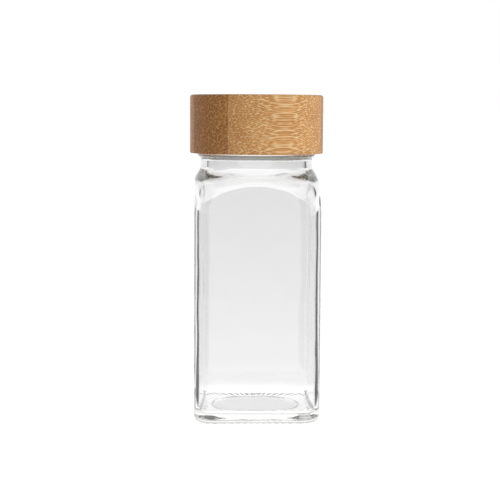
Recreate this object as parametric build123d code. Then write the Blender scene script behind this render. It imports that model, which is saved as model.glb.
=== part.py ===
from build123d import *
import os
from math import cos, pi, radians, sqrt, tan

# Square glass spice jar with a round screw lid of laminated bamboo, in millimetres.
# +Z is up, the origin is the centre of the base, and the four flat sides face +X, -X, +Y and -Y.
# The jar is one piece of glass. A plastic sifter is plugged into its mouth. The lid is a bamboo cup
# turned from a block of glued strips, with a threaded plastic sleeve glued inside and a sealing disc.

# Glass body
body_width = 44.0
body_corner_radius = 7.0
wall_thickness = 1.6
jar_height = 105.4
heel_radius = 2.6
shoulder_edge_radius = 3.5

# Glass base
base_thickness = 3.9
floor_corner_radius = 1.6
punt_radius = 15.6
punt_depth = 0.9
punt_edge_radius = 0.7

# Glass shoulder, a curve from the foot of the neck to a straight slope over the corners of the body.
# The drop is from the foot of the neck to where that slope would meet the neck, and the turn shares
# say how far out, between the neck and the corners, the curve has turned into the slope.
shoulder_slope = 26.6  # degrees below the horizontal
shoulder_drop = 2.46
shoulder_margin = 1.8
shoulder_pull_down = 3.0
shoulder_turn_share = 0.27
shoulder_wall_thickness = 1.35
cavity_pull_down = 4.6
cavity_turn_share = 0.31
cavity_edge_radius = 4.0

# Glass neck and finish, with drops measured down from the rim
neck_foot_drop = 16.1
bead_bottom_drop = 13.2
bead_height = 3.4
bead_projection = 1.15
bead_clearance = 0.5
bead_edge_radius = 0.9
finish_radius = 19.3
finish_wall = 2.1
finish_foot_radius = 0.5
rim_edge_radius = 0.7
rim_bore_edge_radius = 0.6

# Thread, the same shape on the glass and in the lid
thread_pitch = 4.2
thread_turns = 1.0
thread_depth = 0.95
thread_root_width = 2.0
thread_crest_width = 0.9
thread_sink = 0.3
thread_fade_offset = 7.0
thread_radial_clearance = 0.2
thread_flank_clearance = 0.15

# Sifter, a plug with a holed plate. Shares are of the plate's radius.
sifter_flange_inset = 0.3
sifter_flange_thickness = 1.0
sifter_plug_clearance = 0.05
sifter_plug_depth = 6.0
sifter_plug_wall = 1.0
sifter_plate_recess = 2.0
sifter_plate_thickness = 1.0
sifter_hole_diameter = 3.0
sifter_ring_shares = (0.335, 0.67)
sifter_ring_counts = (6, 12)
sifter_edge_radius = 0.3

# Sealing disc under the top of the lid
liner_thickness = 1.5
liner_clearance = 0.1

# Threaded sleeve of the lid
sleeve_wall = 0.85
sleeve_top_thickness = 1.0
sleeve_bead_gap = 0.4
sleeve_thread_lift = 0.25
sleeve_edge_radius = 0.25

# Bamboo cup of the lid, cut from strips that lie side by side. Shares are of the lid's radius.
lid_glue_gap = 0.1
lid_wall = 2.15
lid_height = 20.5
lid_top_thickness = 5.1
lid_top_edge_radius = 0.9
lid_bottom_edge_radius = 0.35
strip_first_seam_share = 0.656
strip_thickness_share = 0.342
strip_count = 6
strip_turn = 21.7  # degrees from +X to the strips' long way

# How far a cut runs past what it cuts
overrun = 5.0

# Radii from the finish outwards
bore_radius = finish_radius - finish_wall
sifter_flange_radius = finish_radius - sifter_flange_inset
sleeve_bore_radius = finish_radius + thread_depth + thread_radial_clearance
sleeve_radius = sleeve_bore_radius + sleeve_wall
lid_bore_radius = sleeve_radius + lid_glue_gap
lid_radius = lid_bore_radius + lid_wall
bead_radius = lid_bore_radius - bead_clearance
neck_radius = bead_radius - bead_projection

# Heights from the rim down and up
neck_foot_height = jar_height - neck_foot_drop
bead_bottom_height = jar_height - bead_bottom_drop
bead_top_height = bead_bottom_height + bead_height
liner_bottom_height = jar_height + sifter_flange_thickness
liner_top_height = liner_bottom_height + liner_thickness
sleeve_top_height = liner_top_height + sleeve_top_thickness
lid_top_height = sleeve_top_height + lid_top_thickness
lid_bottom_height = lid_top_height - lid_height

# The lid's thread starts just above the sleeve's lower end, and bears up against the glass thread
sleeve_bottom_height = bead_top_height + sleeve_bead_gap
sleeve_thread_height = sleeve_bottom_height + thread_root_width / 2 + sleeve_thread_lift
flank_lean = (thread_root_width - thread_crest_width) / 2 / thread_depth
thread_overlap = thread_root_width - flank_lean * (thread_depth + thread_radial_clearance)
thread_bearing_drop = thread_overlap + thread_flank_clearance
glass_thread_height = sleeve_thread_height + thread_bearing_drop


def turned(*curves):
    """The solid that a closed outline of radius and height points sweeps about the Z axis."""
    edges = [edge for curve in curves for edge in (Plane.XZ * curve).edges()]
    return revolve(make_face(Wire(edges)), axis=Axis.Z)


def slope_height(radius):
    """Height of the straight slope of the outer shoulder at a radius."""
    return neck_foot_height - shoulder_drop - (radius - neck_radius) * tan(radians(shoulder_slope))


def square_with_shoulder(width, corner, edge_radius, foot_radius, depth, pull_down, turn_share, low):
    """A square block with rounded corners, rounded off at the top by a shoulder that ends in a round neck.

    depth is how far its slope lies under the slope of the outer shoulder, and low is the height of its foot.
    """
    reach = (width / 2 - corner) * sqrt(2) + corner + shoulder_margin
    turn_radius = foot_radius + turn_share * (reach - foot_radius)
    end_height = slope_height(reach) - depth
    curve = Bezier(
        (foot_radius, neck_foot_height),
        (foot_radius, neck_foot_height - pull_down),
        (turn_radius, slope_height(turn_radius) - depth),
        (reach, end_height),
    )
    below = Polyline(
        (reach, end_height),
        (reach, low),
        (0, low),
        (0, neck_foot_height),
        (foot_radius, neck_foot_height),
    )
    block_height = neck_foot_height - low
    block = extrude(Plane.XY.offset(low) * RectangleRounded(width, width, corner), amount=block_height)
    body = block & turned(curve, below)
    middle = (low + end_height) / 2
    shoulder_edges = [e for e in body.edges() if e.geom_type != GeomType.LINE and middle < e.center().Z]
    side_edges = [e for e in shoulder_edges if lies_on_side(e, width, corner)]
    return fillet(side_edges, edge_radius)


def lies_on_side(edge, width, corner):
    """Whether an edge runs along the outside of a square block with rounded corners."""
    point = edge.position_at(1 / 3)
    x, y = abs(point.X), abs(point.Y)
    straight = width / 2 - corner
    if x > straight and y > straight:
        return abs(sqrt((x - straight) ** 2 + (y - straight) ** 2) - corner) < corner / 1000
    return abs(max(x, y) - width / 2) < width / 1000


def thread_ridge(wall_radius, height, inward):
    """A thread on a round wall, which rises out of the wall and sinks back into it at its ends."""
    side = -1 if inward else 1
    root = wall_radius - side * thread_sink
    crest = wall_radius + side * thread_depth
    half_root = thread_root_width / 2 + flank_lean * thread_sink
    half_crest = thread_crest_width / 2
    path = Helix(thread_pitch, thread_pitch * thread_turns, wall_radius, center=(0, 0, height))
    section = Plane.XZ * Polygon(
        (root, height - half_root),
        (root, height + half_root),
        (crest, height + half_crest),
        (crest, height - half_crest),
        align=None,
    )
    ridge = sweep(section, path=path, is_frenet=True)
    fade_radius = wall_radius + side * thread_fade_offset
    fade = extrude(
        Plane.XY.offset(height - thread_pitch) * Pos(-side * thread_fade_offset, 0) * Circle(fade_radius),
        amount=thread_pitch * thread_turns + 2 * thread_pitch,
    )
    return ridge - fade if inward else ridge & fade


def make_glass_jar():
    """The glass: square body, shoulder, neck with its bead, threaded finish, cavity and hollow under the base."""
    outer = square_with_shoulder(
        body_width,
        body_corner_radius,
        shoulder_edge_radius,
        neck_radius,
        0,
        shoulder_pull_down,
        shoulder_turn_share,
        0,
    )
    outer = fillet(outer.edges().group_by(Axis.Z)[0], heel_radius)

    finish = turned(
        FilletPolyline(
            (0, neck_foot_height),
            (neck_radius, neck_foot_height),
            (neck_radius, bead_bottom_height),
            (bead_radius, bead_bottom_height),
            (bead_radius, bead_top_height),
            (finish_radius, bead_top_height),
            (finish_radius, jar_height),
            (0, jar_height),
            radius=[
                0,
                finish_foot_radius,
                bead_edge_radius,
                bead_edge_radius,
                finish_foot_radius,
                rim_edge_radius,
            ],
        ),
        Line((0, jar_height), (0, neck_foot_height)),
    )
    thread = thread_ridge(finish_radius, glass_thread_height, inward=False)

    cavity = square_with_shoulder(
        body_width - 2 * wall_thickness,
        body_corner_radius - wall_thickness,
        cavity_edge_radius,
        bore_radius,
        shoulder_wall_thickness / cos(radians(shoulder_slope)),
        cavity_pull_down,
        cavity_turn_share,
        base_thickness,
    )
    cavity = fillet(cavity.edges().group_by(Axis.Z)[0], floor_corner_radius)
    bore = turned(
        FilletPolyline(
            (0, neck_foot_height),
            (bore_radius, neck_foot_height),
            (bore_radius, jar_height),
            (finish_radius + overrun, jar_height),
            (finish_radius + overrun, jar_height + overrun),
            (0, jar_height + overrun),
            radius=[0, rim_bore_edge_radius, 0, 0],
        ),
        Line((0, jar_height + overrun), (0, neck_foot_height)),
    )

    punt = extrude(Plane.XY.offset(-overrun) * Circle(punt_radius), amount=overrun + punt_depth)
    punt = fillet(punt.edges().group_by(Axis.Z)[-1], punt_edge_radius)
    return outer + finish + thread - cavity - bore - punt


def make_sifter():
    """The sifter: a flange on the rim, a plug down the bore, and a sunk plate with rings of holes."""
    plug_radius = bore_radius - sifter_plug_clearance
    inner_radius = plug_radius - sifter_plug_wall
    top = jar_height + sifter_flange_thickness
    plate_top = top - sifter_plate_recess
    plate_bottom = plate_top - sifter_plate_thickness
    plug_bottom = jar_height - sifter_plug_depth
    body = turned(
        FilletPolyline(
            (0, plate_bottom),
            (inner_radius, plate_bottom),
            (inner_radius, plug_bottom),
            (plug_radius, plug_bottom),
            (plug_radius, jar_height),
            (sifter_flange_radius, jar_height),
            (sifter_flange_radius, top),
            (inner_radius, top),
            (inner_radius, plate_top),
            (0, plate_top),
            radius=sifter_edge_radius,
        ),
        Line((0, plate_top), (0, plate_bottom)),
    )
    hole = extrude(Plane.XY.offset(plate_bottom - overrun) * Circle(sifter_hole_diameter / 2), amount=2 * overrun)
    places = [Location((0, 0, 0))]
    for share, count in zip(sifter_ring_shares, sifter_ring_counts):
        places += list(PolarLocations(inner_radius * share, count))
    return body - [place * hole for place in places]


def make_liner():
    """The soft sealing disc that is pressed between the top of the sleeve and the mouth."""
    radius = sleeve_bore_radius - sleeve_edge_radius - liner_clearance
    return extrude(Plane.XY.offset(liner_bottom_height) * Circle(radius), amount=liner_thickness)


def make_sleeve():
    """The threaded plastic sleeve inside the bamboo, closed at the top."""
    cup = turned(
        FilletPolyline(
            (0, liner_top_height),
            (sleeve_bore_radius, liner_top_height),
            (sleeve_bore_radius, sleeve_bottom_height),
            (sleeve_radius, sleeve_bottom_height),
            (sleeve_radius, sleeve_top_height),
            (0, sleeve_top_height),
            radius=sleeve_edge_radius,
        ),
        Line((0, sleeve_top_height), (0, liner_top_height)),
    )
    return cup + thread_ridge(sleeve_bore_radius, sleeve_thread_height, inward=True)


def make_strips():
    """The bamboo cup as its glued strips, from the one in front of the jar to the one behind."""
    cup = turned(
        FilletPolyline(
            (0, sleeve_top_height),
            (lid_bore_radius, sleeve_top_height),
            (lid_bore_radius, lid_bottom_height),
            (lid_radius, lid_bottom_height),
            (lid_radius, lid_top_height),
            (0, lid_top_height),
            radius=[
                sleeve_edge_radius + lid_glue_gap,
                lid_bottom_edge_radius,
                lid_bottom_edge_radius,
                lid_top_edge_radius,
            ],
        ),
        Line((0, lid_top_height), (0, sleeve_top_height)),
    )
    reach = lid_radius + overrun
    first_seam = lid_radius * strip_first_seam_share
    thickness = lid_radius * strip_thickness_share
    seams = [first_seam - k * thickness for k in range(strip_count - 1)]
    sides = [reach, *seams, -reach]
    strips = []
    for front, back in zip(sides, sides[1:]):
        slab = Pos(0, -(front + back) / 2, lid_bottom_height + lid_height / 2) * Box(
            2 * reach, front - back, lid_height + overrun
        )
        strips.append(cup & (Rot(0, 0, strip_turn) * slab))
    return strips


pieces = {
    "glass_jar": make_glass_jar(),
    "sifter_insert": make_sifter(),
    "seal_liner": make_liner(),
    "threaded_sleeve": make_sleeve(),
}
for number, strip in enumerate(make_strips(), start=1):
    pieces[f"bamboo_strip_{number}"] = strip

os.makedirs("parts", exist_ok=True)
for name, shape in pieces.items():
    export_step(shape, f"parts/{name}.step")

rise_per_radian = thread_pitch / (2 * pi)
print(f"lid rises {thread_pitch} mm a turn, {rise_per_radian:.5f} mm a radian")
print(f"lid radius {lid_radius:.2f}, top {lid_top_height:.2f}, bottom {lid_bottom_height:.2f}")
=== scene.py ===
import math

import bpy
from mathutils import Matrix, Vector


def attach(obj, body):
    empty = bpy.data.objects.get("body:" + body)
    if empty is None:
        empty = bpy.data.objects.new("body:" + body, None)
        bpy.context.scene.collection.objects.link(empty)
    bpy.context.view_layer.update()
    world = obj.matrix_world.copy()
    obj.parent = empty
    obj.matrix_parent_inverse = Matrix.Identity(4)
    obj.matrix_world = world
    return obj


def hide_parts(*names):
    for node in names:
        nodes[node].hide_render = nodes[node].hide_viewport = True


# A square glass spice jar with a round screw lid of laminated bamboo. Its front faces -Y.
# The glass is modelled here. The lid, sleeve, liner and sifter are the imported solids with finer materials.

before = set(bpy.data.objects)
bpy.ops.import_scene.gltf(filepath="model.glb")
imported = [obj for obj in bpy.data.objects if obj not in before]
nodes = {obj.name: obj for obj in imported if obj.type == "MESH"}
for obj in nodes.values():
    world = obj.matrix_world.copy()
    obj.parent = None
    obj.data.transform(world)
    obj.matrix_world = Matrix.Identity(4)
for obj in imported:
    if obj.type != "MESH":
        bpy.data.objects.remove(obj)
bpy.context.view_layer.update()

mm = 0.001

# Lid, in millimetres. Its strips lie at a turn from +X, in degrees, and the first seam is the front one.
lid_radius = 23.55
first_seam = 15.45
strip_depth = 8.054
strip_turn = 21.7
no_seam_beyond = 20.0
# Each strip from front to back: the side with its densest bundles, bundles a millimetre, and its tone
strip_looks = [
    ("back", 1.9, (0.92, 0.84, 0.78, 1)),
    ("back", 1.2, (0.58, 0.42, 0.25, 1)),
    ("back", 1.2, (0.54, 0.355, 0.17, 1)),
    ("front", 1.7, (0.78, 0.65, 0.54, 1)),
    ("back", 1.8, (0.87, 0.78, 0.70, 1)),
    ("front", 1.6, (0.93, 0.85, 0.79, 1)),
]

# Glass, in millimetres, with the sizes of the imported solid
body_width = 44.0
body_corner = 7.0
heel_radius = 2.6
wall = 1.6
shoulder_wall = 1.35
floor_height = 3.9
floor_corner = 1.6
punt_radius = 15.6
punt_depth = 0.9
punt_edge = 0.7
neck_foot = 89.3
neck_radius = 19.75
bore_radius = 17.2
bead_bottom = 92.2
bead_top = 95.6
bead_radius = 20.9
bead_edge = 0.9
bead_fillet = 0.5
finish_radius = 19.3
rim_edge = 0.7
bore_edge = 0.6
jar_height = 105.4
thread_height = 98.734
thread_pitch = 4.2
thread_depth = 0.95
thread_half_root = 1.0
thread_lean = 0.579
thread_fade = 7.0

# The shoulder falls straight towards the corners. At the neck a curve, pulled down along the neck or the
# bore, bends into that slope towards its turn radius.
slope_drop = 2.46
slope_fall = math.tan(math.radians(26.6))
slope_depth = shoulder_wall / math.cos(math.radians(26.6))
shoulder_turn = 22.52
shoulder_pull = 3.0
cavity_turn = 20.46
cavity_pull = 4.6

# The glass is turned this far out, in so many columns, and then pressed square
outer_reach = 30.0
inner_reach = 28.4
sides_top = 76.0
columns = 240

# A point nearer than this to a place is at that place
close = 0.01

# How far the edge under the shoulder is softened, and how much
outer_edge_reach = 8.0
inner_edge_reach = 7.0
edge_rounds = 300
edge_share = 1.6

# What the mould leaves: fine teeth under the base and a wall that wavers a little
tooth_columns = 4
knurl_lift = 0.28
knurl_height = 0.8
wave_size = 13.0
wave_lift = 0.35
wave_top = 84.0
wave_fade = 8.0


# Making by hand
def only(piece):
    """Selects one object and nothing else."""
    bpy.ops.object.select_all(action="DESELECT")
    bpy.context.view_layer.objects.active = piece
    piece.select_set(True)


def line(start, end, count):
    """Points of a straight line, without its start."""
    return [tuple(a + (b - a) * k / count for a, b in zip(start, end)) for k in range(1, count + 1)]


def arc(centre, radius, start, end, count):
    """Points of an arc between two angles in degrees, without its start."""
    turns = [math.radians(start + (end - start) * k / count) for k in range(1, count + 1)]
    return [(centre[0] + radius * math.cos(t), centre[1] + radius * math.sin(t)) for t in turns]


def bend(a, b, c, d, count):
    """Points of a Bezier curve, without its start."""
    points = []
    for k in range(1, count + 1):
        t = k / count
        shares = ((1 - t) ** 3, 3 * t * (1 - t) ** 2, 3 * t * t * (1 - t), t ** 3)
        points.append(tuple(sum(s * p[axis] for s, p in zip(shares, (a, b, c, d))) for axis in (0, 1)))
    return points


def finish_with(piece, kind, **settings):
    """Adds a modifier to a piece and applies it."""
    only(piece)
    made = piece.modifiers.new(kind.lower(), kind)
    for name, value in settings.items():
        setattr(made, name, value)
    bpy.ops.object.modifier_apply(modifier=made.name)


def weigh(piece, name, weight, within=None):
    """Makes a vertex group with weights by place in millimetres, for all points or those of another group."""
    group = piece.vertex_groups.new(name=name)
    for point in piece.data.vertices:
        if within and all(g.group != piece.vertex_groups[within].index for g in point.groups):
            continue
        value = weight(point.co / mm)
        if value > 0:
            group.add([point.index], min(1.0, value), "REPLACE")
    return name


def round_edges(piece, chosen, radius, segments):
    """Rounds the edges that are chosen by the places of their two ends."""
    for part in (piece.data.vertices, piece.data.edges, piece.data.polygons):
        part.foreach_set("select", [False] * len(part))
    for edge in piece.data.edges:
        edge.select = chosen(*(piece.data.vertices[v].co / mm for v in edge.vertices))
    only(piece)
    bpy.ops.object.mode_set(mode="EDIT")
    bpy.ops.mesh.bevel(offset=radius * mm, segments=segments, affect="EDGES")
    bpy.ops.object.mode_set(mode="OBJECT")


# Glass
def slope_height(radius):
    """The height of the shoulder's slope at a distance from the axis."""
    return neck_foot - slope_drop - (radius - neck_radius) * slope_fall


def side_distance(p, width, corner):
    """How far a rounded square's side is from the axis, in a point's direction."""
    r = math.hypot(p.x, p.y)
    far, near = sorted((abs(p.x) / r, abs(p.y) / r), reverse=True)
    straight = width / 2 - corner
    if width / 2 / far * near <= straight:
        return width / 2 / far
    along = straight * (far + near)
    return along + math.sqrt(along * along - 2 * straight * straight + corner * corner)


def jar_outline():
    """Half a section of the glass, from the middle of its underside, over the rim, to the floor inside."""
    outline = [(0.0, punt_depth)]

    def to(*point, count=1):
        outline.extend(line(outline[-1], point, count))

    def around(r, z, radius, start, end, count):
        outline.extend(arc((r, z), radius, start, end, count))

    def out_of_neck(radius, pull, turn, reach, depth):
        """The shoulder's curve from the neck down and the end of its slope, at a depth below its outside."""
        end = (reach, slope_height(reach) - depth)
        return (radius, neck_foot), (radius, neck_foot - pull), (turn, slope_height(turn) - depth), end

    neck, pulled, turning, end = out_of_neck(neck_radius, shoulder_pull, shoulder_turn, outer_reach, 0.0)
    to(punt_radius - punt_edge, punt_depth, count=8)
    around(punt_radius - punt_edge, punt_depth - punt_edge, punt_edge, 90, 0, 6)
    to(punt_radius, 0.0)
    to(outer_reach, 0.0, count=30)
    to(outer_reach, 4.0, count=10)
    to(outer_reach, sides_top, count=30)
    to(*end, count=14)
    outline.extend(bend(end, turning, pulled, neck, 34))

    to(neck_radius, bead_bottom - bead_fillet, count=3)
    around(neck_radius + bead_fillet, bead_bottom - bead_fillet, bead_fillet, 180, 90, 3)
    around(bead_radius - bead_edge, bead_bottom + bead_edge, bead_edge, -90, 0, 5)
    to(bead_radius, bead_top - bead_edge, count=2)
    around(bead_radius - bead_edge, bead_top - bead_edge, bead_edge, 0, 90, 5)
    to(finish_radius + bead_fillet, bead_top)
    around(finish_radius + bead_fillet, bead_top + bead_fillet, bead_fillet, -90, -180, 3)
    to(finish_radius, jar_height - rim_edge, count=36)
    around(finish_radius - rim_edge, jar_height - rim_edge, rim_edge, 0, 90, 4)
    to(bore_radius + bore_edge, jar_height)
    around(bore_radius + bore_edge, jar_height - bore_edge, bore_edge, 90, 180, 4)

    bore, pulled, turning, end = out_of_neck(bore_radius, cavity_pull, cavity_turn, inner_reach, slope_depth)
    to(*bore, count=8)
    outline.extend(bend(bore, pulled, turning, end, 36))
    to(inner_reach, sides_top, count=10)
    to(inner_reach, 8.0, count=28)
    to(inner_reach, floor_height, count=8)
    to(0.0, floor_height, count=30)
    return outline


def turned(name, outline):
    """A closed piece, turned a quarter round from its outline and mirrored to both sides."""
    bpy.ops.object.select_all(action="DESELECT")
    bpy.ops.mesh.primitive_plane_add(size=mm)
    piece = bpy.context.active_object
    piece.name = name
    bpy.ops.object.mode_set(mode="EDIT")
    bpy.ops.mesh.select_mode(type="VERT")
    bpy.ops.mesh.merge(type="CENTER")
    bpy.ops.transform.translate(value=(outline[0][0] * mm, 0, outline[0][1] * mm))
    for here, there in zip(outline, outline[1:]):
        step = ((there[0] - here[0]) * mm, 0, (there[1] - here[1]) * mm)
        bpy.ops.mesh.extrude_region_move(TRANSFORM_OT_translate={"value": step})
    bpy.ops.mesh.select_all(action="SELECT")
    bpy.ops.mesh.spin(steps=columns // 4, angle=math.pi / 2, center=(0, 0, 0), axis=(0, 0, 1))
    bpy.ops.object.mode_set(mode="OBJECT")
    finish_with(piece, "MIRROR", use_axis=(True, True, False), merge_threshold=1e-6)
    bpy.ops.object.mode_set(mode="EDIT")
    bpy.ops.mesh.select_all(action="SELECT")
    bpy.ops.mesh.remove_doubles(threshold=1e-6)
    bpy.ops.mesh.normals_make_consistent(inside=False)
    bpy.ops.mesh.select_mode(type="EDGE")
    bpy.ops.object.mode_set(mode="OBJECT")
    return piece


def square_block(width, corner, low, foot):
    """A block with rounded corners and a rounded foot, that a turned form is pressed into."""
    bpy.ops.object.select_all(action="DESELECT")
    bpy.ops.mesh.primitive_cube_add(
        size=1,
        location=(0, 0, (low + jar_height) / 2 * mm),
        scale=(width * mm, width * mm, (jar_height - low) * mm),
    )
    block = bpy.context.active_object
    bpy.ops.object.transform_apply(location=True, rotation=True, scale=True)
    round_edges(block, lambda a, b: abs(a.z - b.z) > close, corner, segments=48)
    round_edges(block, lambda a, b: max(a.z, b.z) < low + close, foot, segments=24)
    return block


def press_square(jar, side, width, corner, low, foot, depth, reach):
    """Presses one side of the turned glass square, and softens its edge under the shoulder."""

    def near_edge(p):
        if p.z < neck_foot / 2:
            return 0
        square = side_distance(p, width, corner)
        away = math.hypot(p.z - slope_height(square) + depth, math.hypot(p.x, p.y) - square)
        return edge_share * (1 - away / reach)

    block = square_block(width, corner, low, foot)
    finish_with(jar, "SHRINKWRAP", target=block, wrap_mode="INSIDE", vertex_group=side)
    bpy.data.objects.remove(block)
    edge = weigh(jar, side + "_edge", near_edge, within=side)
    finish_with(jar, "SMOOTH", factor=0.5, iterations=edge_rounds, vertex_group=edge)


def in_cavity(p):
    """Whether a point of the turned glass is on the inside, below the neck."""
    r = math.hypot(p.x, p.y)
    under_slope = p.z < slope_height(r) - slope_depth / 2
    return floor_height - close < p.z < neck_foot - close and r < inner_reach + close and under_slope


def on_finish(p):
    """Whether a point is on the upright outside above the bead, where the thread is."""
    return p.z > bead_top and abs(math.hypot(p.x, p.y) - finish_radius) < close


def tooth(p):
    """The knurl's height round the ring, as a share."""
    half = tooth_columns / 2
    column = round(columns * math.atan2(p.y, p.x) / math.tau) % tooth_columns
    return (1 - abs(column - half) / half) * (1 - p.z / knurl_height)


def waver(p):
    """How much of the waves the wall has, fading out at the shoulder and the floor."""
    return min(1, (wave_top - p.z) / wave_fade, (p.z - floor_height) / wave_fade)


def ridge(p):
    """The thread's height over the finish, as a share of its depth."""
    turn = math.atan2(p.y, p.x) % math.tau
    away = abs(p.z - thread_height - thread_pitch * turn / math.tau)
    shift = thread_fade * math.cos(turn)
    fade = math.sqrt(shift ** 2 + finish_radius * (finish_radius + 2 * thread_fade)) - shift - finish_radius
    return min((thread_half_root - away) / thread_lean, fade, thread_depth) / thread_depth


def make_jar():
    """The glass, turned from one outline, pressed square, and given its knurl, waves and thread."""
    jar = turned("jar_glass", jar_outline())
    # Both sides are marked first, because pressing moves the outside to where the inside was
    weigh(jar, "outside", lambda p: float(p.z < neck_foot - close and not in_cavity(p)))
    weigh(jar, "inside", lambda p: float(in_cavity(p)))
    weigh(jar, "bottom", lambda p: float(p.z < close))
    weigh(jar, "finish", lambda p: float(on_finish(p)))
    press_square(jar, "outside", body_width, body_corner, 0.0, heel_radius, 0.0, outer_edge_reach)
    room = body_width - 2 * wall
    room_corner = body_corner - wall
    press_square(jar, "inside", room, room_corner, floor_height, floor_corner, slope_depth, inner_edge_reach)

    knurl = weigh(jar, "knurl", tooth, within="bottom")
    finish_with(jar, "DISPLACE", direction="Z", strength=knurl_lift * mm, mid_level=0, vertex_group=knurl)
    waves = bpy.data.textures.new("waves", "CLOUDS")
    waves.noise_scale = wave_size * mm
    wavering = weigh(jar, "wavering", waver, within="inside")
    finish_with(jar, "DISPLACE", texture=waves, strength=wave_lift * mm, mid_level=0.5, vertex_group=wavering)
    thread = weigh(jar, "thread", ridge, within="finish")
    finish_with(jar, "DISPLACE", strength=thread_depth * mm, mid_level=0, vertex_group=thread)
    only(jar)
    bpy.ops.object.shade_smooth()
    return jar


# Materials
def put(tree, value, socket):
    """Links a socket, or sets a constant."""
    if isinstance(value, bpy.types.NodeSocket):
        tree.links.new(value, socket)
    else:
        socket.default_value = value


def node(tree, kind, **values):
    """Adds a node. Settings go by their names, and inputs by name with underscores for spaces."""
    made = tree.nodes.new(kind)
    for key, value in values.items():
        if hasattr(made, key):
            setattr(made, key, value)
    for key, value in values.items():
        if not hasattr(made, key):
            put(tree, value, made.inputs[key.replace("_", " ")])
    return made


def sums(tree, operation, *values):
    """One step of arithmetic."""
    made = node(tree, "ShaderNodeMath", operation=operation)
    for value, socket in zip(values, made.inputs):
        put(tree, value, socket)
    return made.outputs[0]


def stretch(tree, place, scale, shift=(0, 0, 0)):
    """A place stretched by three scales, and then shifted."""
    made = node(tree, "ShaderNodeVectorMath", operation="MULTIPLY_ADD")
    for value, socket in zip((place, scale, shift), made.inputs):
        put(tree, value, socket)
    return made.outputs[0]


def between(tree, value, low, high, first=0.0, last=1.0):
    """A soft step from first to last, as a value goes from low to high."""
    made = node(tree, "ShaderNodeMapRange", interpolation_type="SMOOTHSTEP")
    for part, socket in zip((value, low, high, first, last), made.inputs):
        put(tree, part, socket)
    return made.outputs[0]


def mixed(tree, share, first, second, way="MIX"):
    """Two colours mixed."""
    made = node(tree, "ShaderNodeMix", data_type="RGBA", blend_type=way)
    for value, socket in zip((share, first, second), (made.inputs[0], made.inputs[6], made.inputs[7])):
        put(tree, value, socket)
    return made.outputs[2]


def grey(tree, level):
    """The grey of a level."""
    return node(tree, "ShaderNodeCombineColor", Red=level, Green=level, Blue=level).outputs[0]


def noise(tree, place, scale, detail=2.0, rough=0.5):
    """Noise at a place that is stretched by three scales, per millimetre."""
    place = stretch(tree, place, scale)
    return node(tree, "ShaderNodeTexNoise", Vector=place, Scale=1.0, Detail=detail, Roughness=rough)


def in_millimetres(tree, turn=0.0):
    """Object coordinates in millimetres, turned round the upright axis."""
    seen = node(tree, "ShaderNodeTexCoord").outputs["Object"]
    scale = (1 / mm, 1 / mm, 1 / mm)
    turns = (0, 0, math.radians(turn))
    return node(tree, "ShaderNodeMapping", Vector=seen, Rotation=turns, Scale=scale).outputs[0]


def relief(tree, shader, height, strength, depth):
    """Gives a shader the bumps of a height, with a depth in millimetres."""
    bump = node(tree, "ShaderNodeBump", Strength=strength, Distance=depth * mm, Height=height)
    put(tree, bump.outputs[0], shader.inputs["Normal"])


def mixed_shaders(tree, share, first, second):
    """Two shaders mixed."""
    made = node(tree, "ShaderNodeMixShader")
    for value, socket in zip((share, first.outputs[0], second.outputs[0]), made.inputs):
        put(tree, value, socket)
    return made.outputs[0]


def new_group(name, inputs, outputs):
    """A node group with named inputs and outputs."""
    group = bpy.data.node_groups.new(name, "ShaderNodeTree")
    for side, sockets in (("INPUT", inputs), ("OUTPUT", outputs)):
        for title, kind in sockets.items():
            group.interface.new_socket(name=title, in_out=side, socket_type="NodeSocket" + kind)
    return group, node(group, "NodeGroupInput").outputs, node(group, "NodeGroupOutput").inputs


def new_material(name, **finish):
    """A new node material: itself, its tree, its shader with some inputs set, and its output's inputs."""
    material = bpy.data.materials.new(name)
    material.use_nodes = True
    tree = material.node_tree
    tree.nodes.clear()
    out = tree.nodes.new("ShaderNodeOutputMaterial").inputs
    shader = node(tree, "ShaderNodeBsdfPrincipled", **finish)
    tree.links.new(shader.outputs[0], out["Surface"])
    return material, tree, shader, out


def wear(material, name):
    """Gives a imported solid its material."""
    for slot in nodes[name].material_slots:
        slot.material = material


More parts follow.
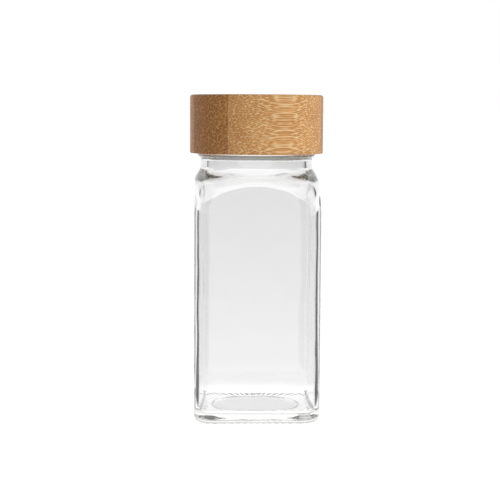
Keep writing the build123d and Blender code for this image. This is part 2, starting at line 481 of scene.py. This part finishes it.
def make_bamboo_cut():
    """What cut bamboo shows. Its bundles of fibre run along X: dots from the end, streaks from the side.

    Place is in millimetres, with Y across the strips. Bundles crowd together towards Dense Side.
    """
    flesh_tones = (0.66, 0.345, 0.115, 1), (0.78, 0.45, 0.165, 1)
    bundle_tones = (0.34, 0.12, 0.028, 1), (0.54, 0.23, 0.065, 1)
    pale_rim = (0.93, 0.68, 0.38, 1)
    glue = (0.19, 0.07, 0.02, 1)
    group, given, result = new_group(
        "bamboo_cut",
        {
            "Place": "Vector",
            "Dense Side": "Float",
            "Open Side": "Float",
            "Bundles": "Float",
            "Tone": "Color",
        },
        {"Color": "Color", "Roughness": "Float", "Height": "Float"},
    )
    place = given["Place"]
    across = node(group, "ShaderNodeSeparateXYZ", Vector=place).outputs["Y"]
    dense = between(group, across, given["Open Side"], given["Dense Side"])

    # The end of the fibres, seen in a plane of its own, wanders a little along their length
    wander = noise(group, place, (0.03, 0.1, 0.1)).outputs["Color"]
    drift = stretch(group, wander, (0.0, 1.6, 1.6), place)
    end = node(group, "ShaderNodeSeparateXYZ", Vector=drift)
    end = node(group, "ShaderNodeCombineXYZ", X=end.outputs["Y"], Y=end.outputs["Z"]).outputs[0]
    end = node(group, "ShaderNodeMapping", Vector=end, Rotation=(0, 0, math.radians(45))).outputs[0]
    bundles = node(
        group,
        "ShaderNodeTexVoronoi",
        voronoi_dimensions="2D",
        Vector=end,
        Scale=given["Bundles"],
        Randomness=0.75,
    ).outputs
    away = bundles["Distance"]
    each = node(group, "ShaderNodeSeparateColor", Color=bundles["Color"]).outputs[0]
    size = sums(group, "MULTIPLY_ADD", dense, 0.11, 0.21)
    size = sums(group, "MULTIPLY_ADD", each, 0.16, size)
    core = between(group, away, size, sums(group, "SUBTRACT", size, 0.22))
    halo = between(group, away, sums(group, "ADD", size, 0.10), sums(group, "ADD", size, 0.36))

    fine = noise(group, place, (0.12, 4.5, 4.5), detail=3.0).outputs["Fac"]
    slow = noise(group, place, (0.012, 0.35, 0.22)).outputs["Fac"]
    flesh = mixed(group, between(group, slow, 0.3, 0.7), *flesh_tones)
    colour = mixed(group, halo, flesh, pale_rim)
    colour = mixed(group, sums(group, "MULTIPLY", core, 0.78), colour, mixed(group, each, *bundle_tones))
    grain = grey(group, between(group, fine, 0.25, 0.75, 0.84, 1.1))
    colour = mixed(group, 1.0, colour, grain, "MULTIPLY")
    colour = mixed(group, 1.0, colour, given["Tone"], "MULTIPLY")

    # The glue line shows as a thin dark seam at both sides of a strip
    to_dense = sums(group, "ABSOLUTE", sums(group, "SUBTRACT", across, given["Dense Side"]))
    to_open = sums(group, "ABSOLUTE", sums(group, "SUBTRACT", across, given["Open Side"]))
    outer = sums(group, "GREATER_THAN", sums(group, "ABSOLUTE", across), no_seam_beyond)
    near = sums(group, "ADD", sums(group, "MINIMUM", to_dense, to_open), outer)
    colour = mixed(group, between(group, near, 0.18, 0.04, 0.0, 0.5), colour, glue)
    put(group, colour, result["Color"])
    put(group, between(group, sums(group, "ADD", core, fine), 0.2, 1.4, 0.40, 0.58), result["Roughness"])
    put(group, sums(group, "MULTIPLY_ADD", core, -0.6, fine), result["Height"])
    return group


def make_bamboo(name, dense_side, open_side, bundles, tone):
    """One strip's bamboo."""
    material, tree, shader, _ = new_material("bamboo_" + name, Specular_IOR_Level=0.38)
    cut = node(
        tree,
        "ShaderNodeGroup",
        node_tree=bamboo_cut,
        Place=in_millimetres(tree, 180 - strip_turn),
        Dense_Side=dense_side,
        Open_Side=open_side,
        Bundles=bundles,
        Tone=tone,
    )
    put(tree, cut.outputs["Color"], shader.inputs["Base Color"])
    put(tree, cut.outputs["Roughness"], shader.inputs["Roughness"])
    relief(tree, shader, cut.outputs["Height"], 0.25, 0.05)
    return material


def make_moulded_skin():
    """The skin of moulded plastic: faint flow marks and a fine grain."""
    group, given, result = new_group(
        "moulded_skin",
        {"Place": "Vector", "Tone": "Color", "Roughness": "Float"},
        {"Color": "Color", "Roughness": "Float", "Height": "Float"},
    )
    flow = noise(group, given["Place"], (0.12, 0.12, 0.5), detail=3.0).outputs["Fac"]
    grain = noise(group, given["Place"], (7.0, 7.0, 7.0)).outputs["Fac"]
    tone = grey(group, between(group, flow, 0.3, 0.7, 0.94, 1.0))
    put(group, mixed(group, 1.0, given["Tone"], tone, "MULTIPLY"), result["Color"])
    change = between(group, flow, 0.2, 0.8, -0.06, 0.06)
    put(group, sums(group, "ADD", given["Roughness"], change), result["Roughness"])
    put(group, grain, result["Height"])
    return group


def make_plastic(name, tone, roughness, light_through):
    """Pale polypropylene, that lets a little light into it."""
    material, tree, shader, _ = new_material(
        name + "_polypropylene",
        IOR=1.49,
        Subsurface_Weight=light_through,
        Subsurface_Radius=(1.0, 1.0, 1.0),
        Subsurface_Scale=0.8 * mm,
    )
    place = in_millimetres(tree)
    skin = node(tree, "ShaderNodeGroup", node_tree=moulded_skin, Place=place, Tone=tone, Roughness=roughness)
    put(tree, skin.outputs["Color"], shader.inputs["Base Color"])
    put(tree, skin.outputs["Roughness"], shader.inputs["Roughness"])
    relief(tree, shader, skin.outputs["Height"], 0.15, 0.02)
    return material


def make_foam():
    """White closed-cell foam: small soft cells in a matt skin."""
    material, tree, shader, _ = new_material("liner_foam_cells", Roughness=0.75)
    place = in_millimetres(tree)
    cells = node(tree, "ShaderNodeTexVoronoi", feature="SMOOTH_F1", Vector=place, Scale=3.5, Smoothness=0.4)
    cells = cells.outputs["Distance"]
    put(tree, grey(tree, between(tree, cells, 0.1, 0.8, 0.86, 0.78)), shader.inputs["Base Color"])
    relief(tree, shader, cells, 0.35, 0.05)
    return material


def make_glass():
    """Clear flint glass, faintly green in its depth. Lamplight goes straight through."""
    material, tree, shader, out = new_material(
        "moulded_glass", Base_Color=(1, 1, 1, 1), Roughness=0, IOR=1.52, Transmission_Weight=1
    )
    clear = node(tree, "ShaderNodeBsdfTransparent")
    shadow = node(tree, "ShaderNodeLightPath").outputs["Is Shadow Ray"]
    put(tree, mixed_shaders(tree, shadow, shader, clear), out["Surface"])
    tint = node(tree, "ShaderNodeVolumeAbsorption", Color=(0.80, 0.84, 0.78, 1), Density=6.0)
    put(tree, tint.outputs[0], out["Volume"])
    return material


jar = make_jar()
jar.data.materials.append(make_glass())
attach(jar, "jar")
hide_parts("glass_jar")

bamboo_cut = make_bamboo_cut()
moulded_skin = make_moulded_skin()
seams = [first_seam - strip_depth * k for k in range(len(strip_looks) - 1)]
sides = [lid_radius, *seams, -lid_radius]
for n, (front, back, (dense, bundles, tone)) in enumerate(zip(sides, sides[1:], strip_looks), start=1):
    dense_side, open_side = (back, front) if dense == "back" else (front, back)
    wear(make_bamboo(f"strip_{n}", dense_side, open_side, bundles, tone), f"bamboo_strip_{n}")

wear(make_plastic("sifter", (0.80, 0.81, 0.79, 1), 0.32, 0.25), "sifter_insert")
wear(make_plastic("sleeve", (0.83, 0.82, 0.78, 1), 0.38, 0.18), "threaded_sleeve")
wear(make_foam(), "seal_liner")


# Stage
def on_show(tree):
    """1 for rays that show the set itself: straight to the camera, in a reflection or through the glass."""
    seen = node(tree, "ShaderNodeLightPath").outputs
    mirrored = sums(tree, "MAXIMUM", seen["Is Camera Ray"], seen["Is Glossy Ray"])
    return sums(tree, "MAXIMUM", mirrored, seen["Is Transmission Ray"])


def through_glass(tree, otherwise, level):
    """A level for rays that came through the glass, and another for the rest."""
    came_through = node(tree, "ShaderNodeLightPath").outputs["Is Transmission Ray"]
    return between(tree, came_through, 0, 1, otherwise, level)


def painted_dark_sides(tree, direction):
    """1 where the set is painted dark at the sides for light that has bounced inside the glass: painted dark
    reflections, which put dark edges into the glass.
    """
    part = node(tree, "ShaderNodeSeparateXYZ", Vector=direction).outputs
    along, across = (sums(tree, "ABSOLUTE", part[axis]) for axis in ("Y", "X"))
    side = between(tree, sums(tree, "DIVIDE", across, along), 0.92, 1.0)
    depth = node(tree, "ShaderNodeLightPath").outputs
    inside = sums(tree, "MINIMUM", depth["Glossy Depth"], depth["Transmission Depth"])
    return sums(tree, "MULTIPLY", side, sums(tree, "MINIMUM", inside, 1.0))


def without(tree, level, dark):
    """A level taken down to nothing where it is dark."""
    return sums(tree, "MULTIPLY", level, sums(tree, "SUBTRACT", 1.0, dark))


def make_floor():
    """A white floor with the jar's shadow. Through the glass only, light and shade are painted on it: it is
    greyer far away and lighter towards the jar, brightest round its base, with a painted shadow below the
    hollow and painted dark sides.
    """
    bpy.ops.object.select_all(action="DESELECT")
    bpy.ops.mesh.primitive_plane_add(size=60, location=(0, 0, 0))
    floor = bpy.context.active_object
    floor.name = "floor"
    material, tree, shader, out = new_material(
        "pale_floor", Base_Color=(0.9, 0.9, 0.9, 1), Roughness=0.6, Specular_IOR_Level=0.0
    )
    place = node(tree, "ShaderNodeTexCoord").outputs["Object"]
    measure = node(tree, "ShaderNodeVectorMath", operation="LENGTH")
    put(tree, place, measure.inputs[0])
    reach = measure.outputs["Value"]

    # Seen through the glass, light is painted: the tone far away rises towards the jar and is brightest round
    # its base, and a painted shadow drops it under the hollow
    far_tone, rise, rise_length = 0.79, 0.18, 0.42
    painted_base_light, painted_hollow_shadow = 0.3, 0.62
    fade = sums(tree, "EXPONENT", sums(tree, "DIVIDE", reach, -rise_length))
    tone = sums(tree, "MULTIPLY_ADD", fade, rise, far_tone)
    tone = sums(tree, "ADD", tone, between(tree, reach, 0.066, 0.036, 0.0, painted_base_light))
    tone = sums(tree, "SUBTRACT", tone, between(tree, reach, 0.018, 0.014, 0.0, painted_hollow_shadow))
    # Painted dark reflections: through the glass, the floor beside the jar is painted dark at the sides
    dark = sums(tree, "MULTIPLY", painted_dark_sides(tree, place), between(tree, reach, 0.034, 0.052))
    tone = through_glass(tree, 1.12, without(tree, tone, dark))
    glow = node(tree, "ShaderNodeEmission", Color=(1, 1, 1, 1), Strength=tone)
    share = sums(tree, "MULTIPLY_ADD", on_show(tree), 0.6, 0.3)
    put(tree, mixed_shaders(tree, share, shader, glow), out["Surface"])
    floor.data.materials.append(material)


def make_studio():
    """A white studio. Only through the glass it is painted dimmer from a low height up, painted dark at the
    sides and painted dark overhead, which paints shade into the glass.
    """
    low, overhead = (0.2, 0.3), (0.75, 0.95)
    world = bpy.data.worlds.new("studio")
    bpy.context.scene.world = world
    world.use_nodes = True
    tree = world.node_tree
    tree.nodes.clear()
    direction = node(tree, "ShaderNodeTexCoord").outputs["Generated"]
    height = node(tree, "ShaderNodeSeparateXYZ", Vector=direction).outputs["Z"]
    # Painted shade seen in the glass: dark sides above a low height, and dark overhead
    dark = sums(tree, "MULTIPLY", painted_dark_sides(tree, direction), between(tree, height, *low))
    dark = sums(tree, "MAXIMUM", dark, between(tree, height, *overhead))
    level = through_glass(tree, 1.0, without(tree, between(tree, height, *low, 0.98, 0.76), dark))
    ambient = node(tree, "ShaderNodeBackground", Color=(1, 1, 1, 1), Strength=0.36)
    white = node(tree, "ShaderNodeBackground", Color=(1, 1, 1, 1), Strength=level)
    out = node(tree, "ShaderNodeOutputWorld").inputs
    put(tree, mixed_shaders(tree, on_show(tree), ambient, white), out["Surface"])


def make_lamp():
    """One soft lamp from the right, that the glass doesn't mirror."""
    lamp = bpy.data.lights.new("key", "AREA")
    lamp.shape = "RECTANGLE"
    lamp.size = 0.6
    lamp.size_y = 0.9
    lamp.energy = 5.5
    key = bpy.data.objects.new("key", lamp)
    bpy.context.scene.collection.objects.link(key)
    key.location = (0.76, -0.64, 0.35)
    key.rotation_euler = (Vector((0, 0, 0.06)) - key.location).to_track_quat("-Z", "Y").to_euler()
    key.visible_glossy = False
    key.visible_transmission = False


def make_camera():
    """The camera, a little left of the jar and looking down on it from half a metre."""
    camera_data = bpy.data.cameras.new("camera")
    camera_data.sensor_width = 36
    camera_data.lens = 102.55
    camera = bpy.data.objects.new("camera", camera_data)
    bpy.context.scene.collection.objects.link(camera)
    pan, dip, lean = -2.257, 5.639, 0.323
    aim = Matrix.Rotation(math.radians(pan), 4, "Z") @ Matrix.Rotation(math.radians(90 - dip), 4, "X")
    roll = Matrix.Rotation(math.radians(lean), 4, "Z")
    camera.matrix_world = Matrix.Translation((-0.02201, -0.50612, 0.1089)) @ aim @ roll
    bpy.context.scene.camera = camera


make_floor()
make_studio()
make_lamp()
make_camera()

# Light passes through many walls of glass before it comes out
cycles = bpy.context.scene.cycles
cycles.max_bounces = cycles.transmission_bounces = cycles.glossy_bounces = 32

bpy.context.scene.view_settings.view_transform = "Standard"
